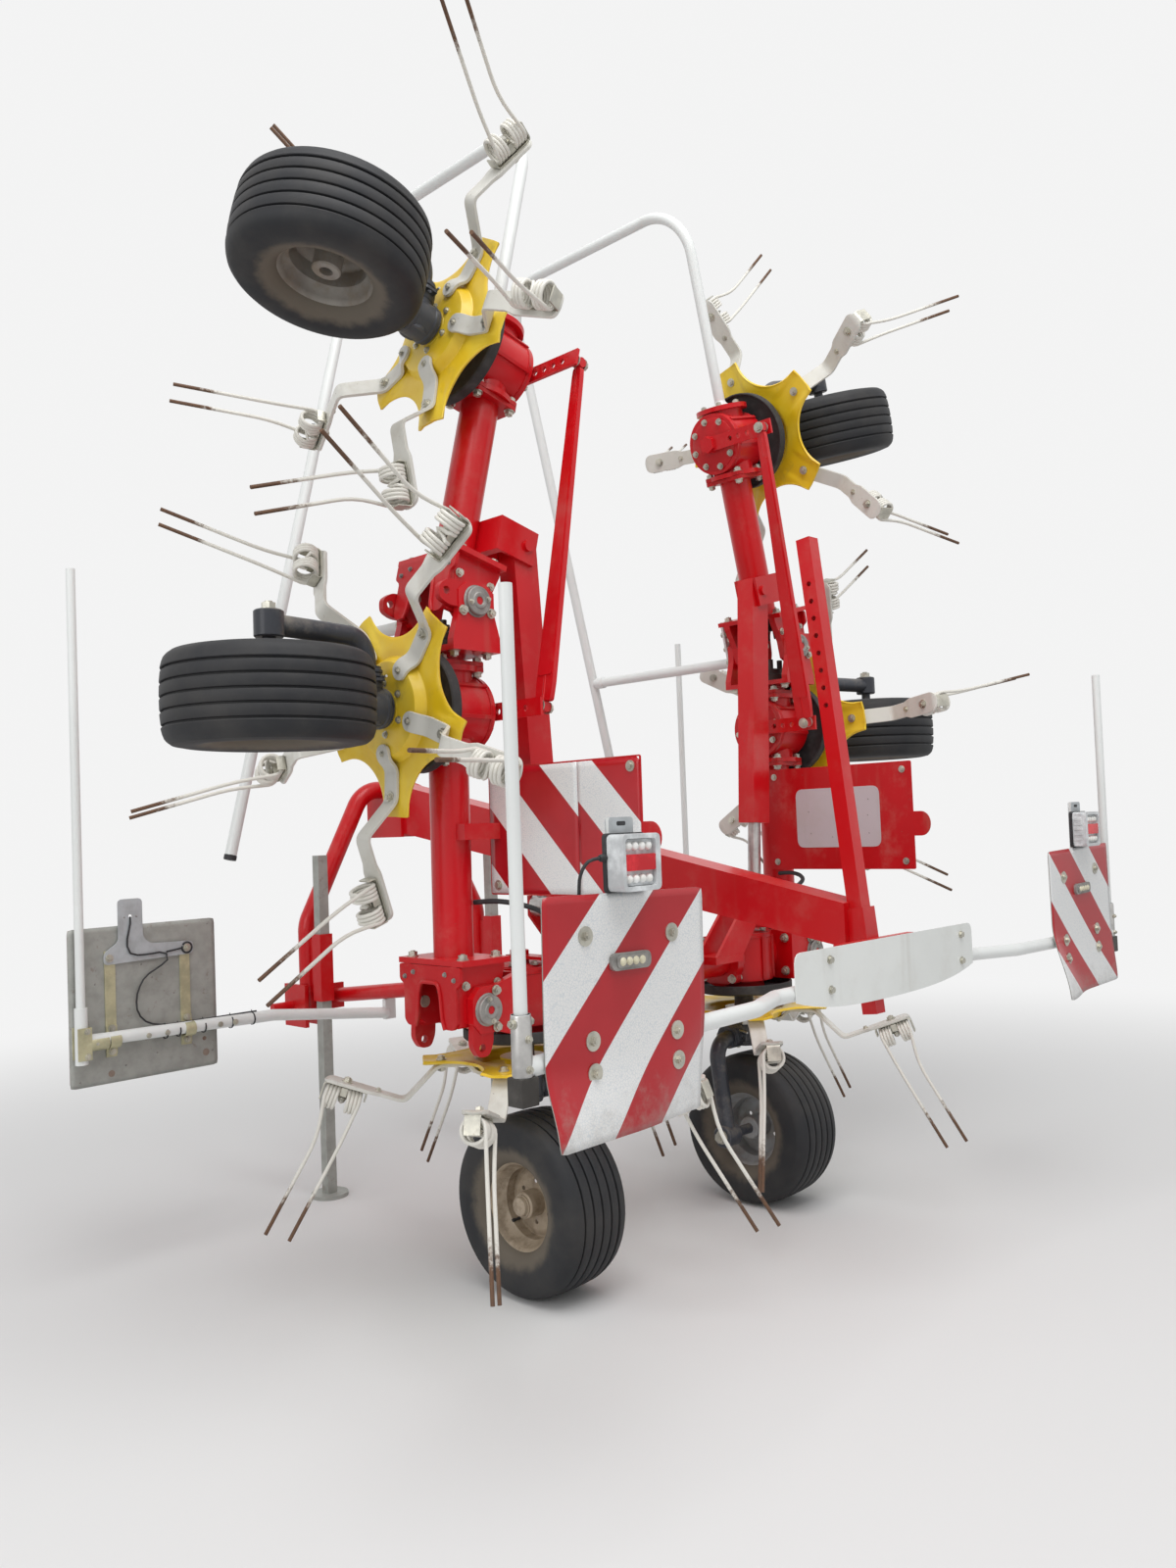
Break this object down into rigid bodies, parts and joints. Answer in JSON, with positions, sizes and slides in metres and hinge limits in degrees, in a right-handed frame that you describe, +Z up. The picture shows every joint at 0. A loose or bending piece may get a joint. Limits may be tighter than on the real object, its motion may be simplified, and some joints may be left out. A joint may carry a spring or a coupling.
{
  "type": "folded hay tedder",
  "caption": "Mounted hay tedder folded up for the road: a headstock and frame with hinged wings, tined rotors, each on its own wheel, white guards and striped boards.",
  "frame": {"origin": "middle of the box's base, on the ground", "axes": "+Y ahead to the hitch, +Z up, +X to the machine's right"},
  "size_m": [2.884, 2.185, 3.1836],
  "materials": {
    "tyre": "matte",
    "cream_paint": "satin",
    "yellow_paint": "satin, scuffed",
    "white_paint": "satin, dusty",
    "board_sheet": "retroreflective stripes",
    "plate_sheet": "satin",
    "bright_steel": "ground",
    "lamp_lens": "clear",
    "zinc_steel": "zinc plated",
    "dark_paint": "satin, dusty",
    "red_paint": "gloss, faded"
  },
  "bodies": {
    "frame": {"crossbeam": "red_paint", "centre_housings": "red_paint", "pto_stub": "bright_steel", "spine": "red_paint", "headstock": "red_paint", "centre_legs": "dark_paint", "name_plate": "plate_sheet", "board_tubes": "white_paint", "warning_boards": "board_sheet", "marker_poles": "white_paint", "tail_lamps": "lamp_lens"},
    "rear_post": {"rear_post": "red_paint"},
    "front_leg_left": {"front_leg_left": "zinc_steel"},
    "front_leg_right": {"front_leg_right": "zinc_steel"},
    "left_inner": {"left_inner_arm": "red_paint", "left_inner_leg": "dark_paint", "left_side_plate": "board_sheet"},
    "left_outer": {"left_outer_arm": "red_paint", "left_outer_leg": "dark_paint", "left_guard": "white_paint"},
    "left_channel": {"left_channel": "red_paint"},
    "left_rod": {"left_rod": "bright_steel"},
    "left_tie": {"left_tie": "red_paint"},
    "left_centre_rotor": {"left_centre_star": "yellow_paint", "left_centre_tines": "white_paint"},
    "left_centre_wheel": {"left_centre_tyre": "tyre", "left_centre_rim": "cream_paint"},
    "left_inner_rotor": {"left_inner_star": "yellow_paint", "left_inner_tines": "white_paint"},
    "left_inner_wheel": {"left_inner_tyre": "tyre", "left_inner_rim": "cream_paint"},
    "left_outer_rotor": {"left_outer_star": "yellow_paint", "left_outer_tines": "white_paint"},
    "left_outer_wheel": {"left_outer_tyre": "tyre", "left_outer_rim": "cream_paint"},
    "right_inner": {"right_inner_arm": "red_paint", "right_inner_leg": "dark_paint", "right_side_plate": "board_sheet"},
    "right_outer": {"right_outer_arm": "red_paint", "right_outer_leg": "dark_paint", "right_guard": "white_paint"},
    "right_channel": {"right_channel": "red_paint"},
    "right_rod": {"right_rod": "bright_steel"},
    "right_tie": {"right_tie": "red_paint"},
    "right_centre_rotor": {"right_centre_star": "yellow_paint", "right_centre_tines": "white_paint"},
    "right_centre_wheel": {"right_centre_tyre": "tyre", "right_centre_rim": "cream_paint"},
    "right_inner_rotor": {"right_inner_star": "yellow_paint", "right_inner_tines": "white_paint"},
    "right_inner_wheel": {"right_inner_tyre": "tyre", "right_inner_rim": "cream_paint"},
    "right_outer_rotor": {"right_outer_star": "yellow_paint", "right_outer_tines": "white_paint"},
    "right_outer_wheel": {"right_outer_tyre": "tyre", "right_outer_rim": "cream_paint"}
  },
  "joints": [
    {"name": "rear_post_slide", "type": "slide", "parent": "frame", "child": "rear_post", "axis": [0, -0.1115, -0.9938], "range_m": [0, 0.7]},
    {"name": "front_leg_left_slide", "type": "slide", "parent": "frame", "child": "front_leg_left", "axis": [0, 0, 1], "range_m": [0, 0.45]},
    {"name": "front_leg_right_slide", "type": "slide", "parent": "frame", "child": "front_leg_right", "axis": [0, 0, 1], "range_m": [0, 0.45]},
    {"name": "left_fold", "type": "hinge", "parent": "frame", "child": "left_inner", "pos_m": [-0.695, -0.1725, 0.753], "axis": [0, -1, 0], "range_deg": [0, 90.5]},
    {"name": "left_outer_fold", "type": "hinge", "parent": "left_inner", "child": "left_outer", "pos_m": [-0.68634, -0.1725, 1.74496], "axis": [0, -1, 0], "range_deg": [0, 14]},
    {"name": "left_channel_swing", "type": "hinge", "parent": "left_outer", "child": "left_channel", "pos_m": [-0.50482, -0.2525, 1.90769], "axis": [0, 1, 0], "range_deg": [0, 14.05]},
    {"name": "left_rod_slide", "type": "slide", "parent": "left_channel", "child": "left_rod", "axis": [0.0593, 0, -0.9982], "range_m": [0, 0.51894]},
    {"name": "left_tie_swing", "type": "hinge", "parent": "left_inner", "child": "left_tie", "pos_m": [-0.56273, -0.3925, 1.48187], "axis": [0, -1, 0], "range_deg": [0, 10.26]},
    {"name": "left_centre_spin", "type": "hinge", "parent": "frame", "child": "left_centre_rotor", "pos_m": [-0.475, -0.1725, 0.593], "axis": [0, 0, 1], "continuous": true},
    {"name": "left_centre_roll", "type": "hinge", "parent": "frame", "child": "left_centre_wheel", "pos_m": [-0.475, -0.2175, 0.2285], "axis": [-1, 0, 0], "continuous": true},
    {"name": "left_inner_spin", "type": "hinge", "parent": "left_inner", "child": "left_inner_rotor", "pos_m": [-0.84862, -0.1725, 1.48437], "axis": [1, 0, -0.0087], "continuous": true},
    {"name": "left_inner_roll", "type": "hinge", "parent": "left_inner", "child": "left_inner_wheel", "pos_m": [-1.21311, -0.2175, 1.48755], "axis": [0.0087, 0, 1], "continuous": true},
    {"name": "left_outer_spin", "type": "hinge", "parent": "left_outer", "child": "left_outer_rotor", "pos_m": [-0.66899, -0.1725, 2.45111], "axis": [0.9681, 0, -0.2504], "continuous": true},
    {"name": "left_outer_roll", "type": "hinge", "parent": "left_outer", "child": "left_outer_wheel", "pos_m": [-1.02188, -0.2175, 2.54237], "axis": [0.2504, 0, 0.9681], "continuous": true},
    {"name": "right_fold", "type": "hinge", "parent": "frame", "child": "right_inner", "pos_m": [0.695, -0.1725, 0.753], "axis": [0, 1, 0], "range_deg": [0, 90.5]},
    {"name": "right_outer_fold", "type": "hinge", "parent": "right_inner", "child": "right_outer", "pos_m": [0.68634, -0.1725, 1.74496], "axis": [0, 1, 0], "range_deg": [0, 14]},
    {"name": "right_channel_swing", "type": "hinge", "parent": "right_outer", "child": "right_channel", "pos_m": [0.50482, -0.2525, 1.90769], "axis": [0, -1, 0], "range_deg": [0, 14.05]},
    {"name": "right_rod_slide", "type": "slide", "parent": "right_channel", "child": "right_rod", "axis": [-0.0593, 0, -0.9982], "range_m": [0, 0.51894]},
    {"name": "right_tie_swing", "type": "hinge", "parent": "right_inner", "child": "right_tie", "pos_m": [0.56273, -0.3925, 1.48187], "axis": [0, 1, 0], "range_deg": [0, 10.26]},
    {"name": "right_centre_spin", "type": "hinge", "parent": "frame", "child": "right_centre_rotor", "pos_m": [0.475, -0.1725, 0.593], "axis": [0, 0, 1], "continuous": true},
    {"name": "right_centre_roll", "type": "hinge", "parent": "frame", "child": "right_centre_wheel", "pos_m": [0.475, -0.2175, 0.2285], "axis": [1, 0, 0], "continuous": true},
    {"name": "right_inner_spin", "type": "hinge", "parent": "right_inner", "child": "right_inner_rotor", "pos_m": [0.84862, -0.1725, 1.48437], "axis": [-1, 0, -0.0087], "continuous": true},
    {"name": "right_inner_roll", "type": "hinge", "parent": "right_inner", "child": "right_inner_wheel", "pos_m": [1.21311, -0.2175, 1.48755], "axis": [-0.0087, 0, 1], "continuous": true},
    {"name": "right_outer_spin", "type": "hinge", "parent": "right_outer", "child": "right_outer_rotor", "pos_m": [0.66899, -0.1725, 2.45111], "axis": [-0.9681, 0, -0.2504], "continuous": true},
    {"name": "right_outer_roll", "type": "hinge", "parent": "right_outer", "child": "right_outer_wheel", "pos_m": [1.02188, -0.2175, 2.54237], "axis": [-0.2504, 0, 0.9681], "continuous": true}
  ],
  "couplings": [
    {"joint": "left_outer_fold", "follows": "left_fold", "ratio": 0.1547},
    {"joint": "left_channel_swing", "follows": "left_fold", "ratio": 0.15521},
    {"joint": "left_rod_slide", "follows": "left_fold", "m_per_rad": 0.32854},
    {"joint": "left_tie_swing", "follows": "left_fold", "ratio": 0.11334},
    {"joint": "left_inner_spin", "follows": "left_centre_spin", "ratio": -1},
    {"joint": "left_outer_spin", "follows": "left_centre_spin", "ratio": 1},
    {"joint": "right_outer_fold", "follows": "right_fold", "ratio": 0.1547},
    {"joint": "right_channel_swing", "follows": "right_fold", "ratio": 0.15521},
    {"joint": "right_rod_slide", "follows": "right_fold", "m_per_rad": 0.32854},
    {"joint": "right_tie_swing", "follows": "right_fold", "ratio": 0.11334},
    {"joint": "right_centre_spin", "follows": "left_centre_spin", "ratio": -1},
    {"joint": "right_inner_spin", "follows": "left_centre_spin", "ratio": 1},
    {"joint": "right_outer_spin", "follows": "left_centre_spin", "ratio": -1}
  ]
}
